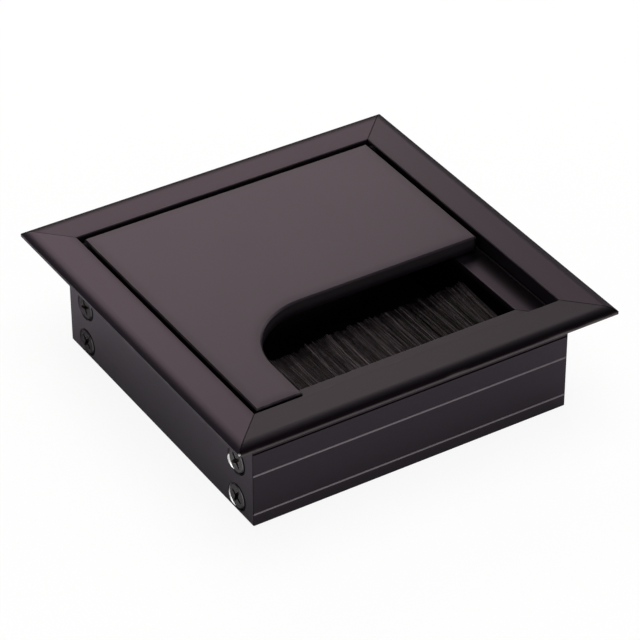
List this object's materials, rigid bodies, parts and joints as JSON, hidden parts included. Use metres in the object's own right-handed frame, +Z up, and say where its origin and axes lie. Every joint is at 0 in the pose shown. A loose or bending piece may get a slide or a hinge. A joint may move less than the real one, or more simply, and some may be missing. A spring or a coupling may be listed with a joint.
{
  "type": "desk cable grommet",
  "caption": "Square mitred aluminium desk grommet with a flush flip-up lid, one lid corner cut away for cables behind a brush, and a skirt that drops into a desk cut-out.",
  "frame": {"origin": "centre of the skirt's bottom edge", "axes": "+Z up through the lid, +Y towards the hinge, +X to the right seen from the brush side"},
  "size_m": [0.1, 0.1, 0.0295],
  "materials": {
    "anodised_metal": "satin brown-black anodised",
    "black_screw": "black, semi-gloss",
    "steel": "plain",
    "nylon": "black nylon",
    "pad_rubber": "matte",
    "bristle": "black nylon bristle"
  },
  "bodies": {
    "frame": {"front_rail": "anodised_metal", "rear_rail": "anodised_metal", "left_rail": "anodised_metal", "right_rail": "anodised_metal", "screw_left_front_upper": "black_screw", "screw_left_front_lower": "black_screw", "screw_left_rear_upper": "black_screw", "screw_left_rear_lower": "black_screw", "screw_right_front_upper": "black_screw", "screw_right_front_lower": "black_screw", "screw_right_rear_upper": "black_screw", "screw_right_rear_lower": "black_screw", "brush_channel": "steel", "brush_core_wire": "steel", "brush_bristles": "bristle"},
    "lid": {"lid": "anodised_metal", "left_hinge_pin": "steel", "right_hinge_pin": "steel", "left_hinge_washer": "nylon", "right_hinge_washer": "nylon", "lid_pad_corner": "pad_rubber", "lid_pad_tab": "pad_rubber", "lid_pad_right": "pad_rubber"}
  },
  "joints": [
    {"name": "lid_hinge", "type": "hinge", "parent": "frame", "child": "lid", "pos_m": [0, 0.03735, 0.02747], "axis": [-1, 0, 0], "range_deg": [0, 105]}
  ]
}
